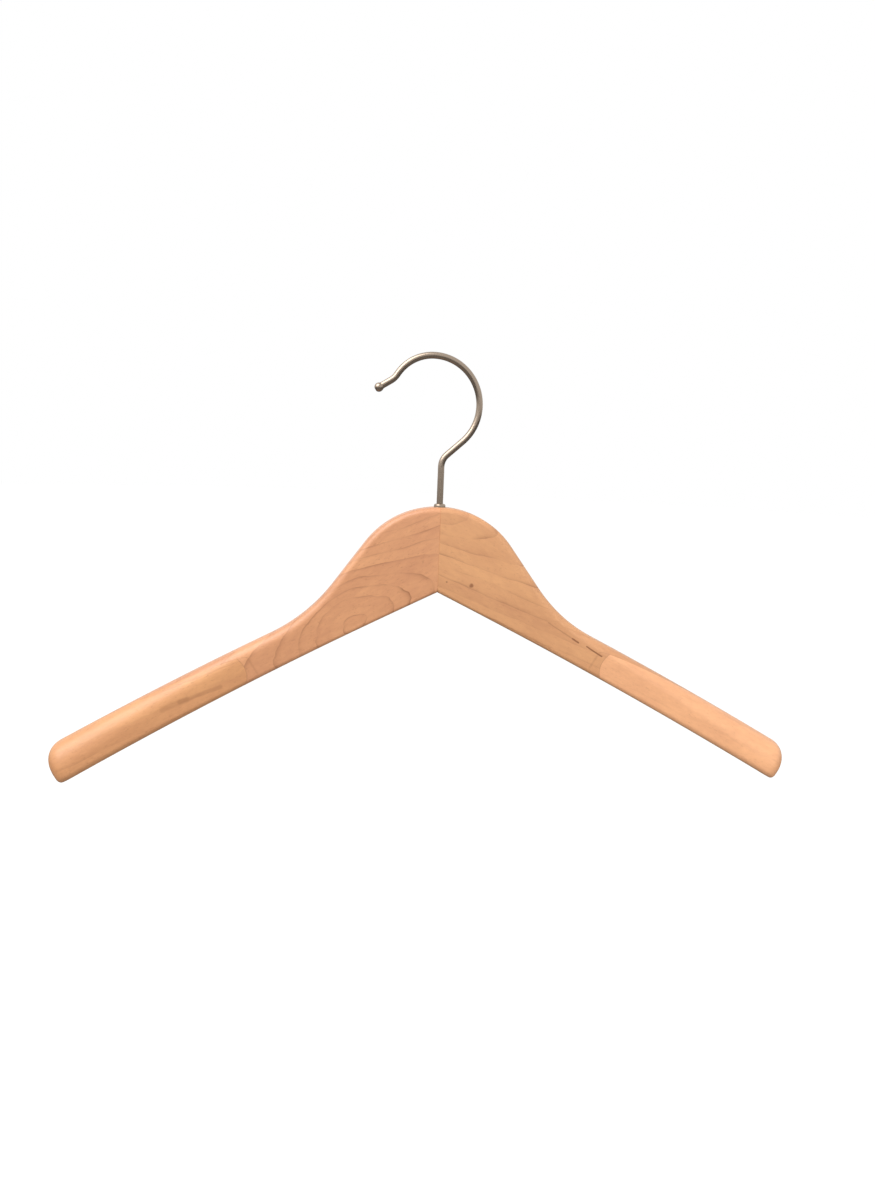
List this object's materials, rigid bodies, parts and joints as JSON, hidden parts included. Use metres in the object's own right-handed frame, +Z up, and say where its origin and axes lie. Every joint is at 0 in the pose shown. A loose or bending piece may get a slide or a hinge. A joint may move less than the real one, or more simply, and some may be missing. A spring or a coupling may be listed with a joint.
{
  "type": "clothes hanger",
  "caption": "Contoured wooden clothes hanger with rounded shoulders and a swivelling wire hook, for hanging a jacket, coat or shirt from a rail.",
  "frame": {"origin": "the rail seat: the lowest point of the inside of the hook's bow, where the hanger rests on its rail", "axes": "+Z up along the swivel axis, +X along the hanger from its left arm to its right arm, front of the hanger towards -Y"},
  "size_m": [0.42, 0.0305, 0.2362],
  "materials": {
    "arm_wood": "satin lacquer",
    "block_wood": "satin lacquer",
    "dowel_wood": "bare",
    "hook_steel": "satin nickel plate",
    "bush_steel": "nickel plate"
  },
  "bodies": {
    "hook": {"hook": "hook_steel"},
    "hanger_body": {"left_arm": "arm_wood", "right_arm": "arm_wood", "left_shoulder_block": "block_wood", "right_shoulder_block": "block_wood", "mitre_dowels": "dowel_wood", "swivel_bush": "bush_steel", "thrust_washer": "bush_steel"}
  },
  "joints": [
    {"name": "hook_swivel", "type": "hinge", "parent": "hook", "child": "hanger_body", "pos_m": [0.00602, 0, -0.07933], "axis": [0, 0, 1], "continuous": true}
  ]
}
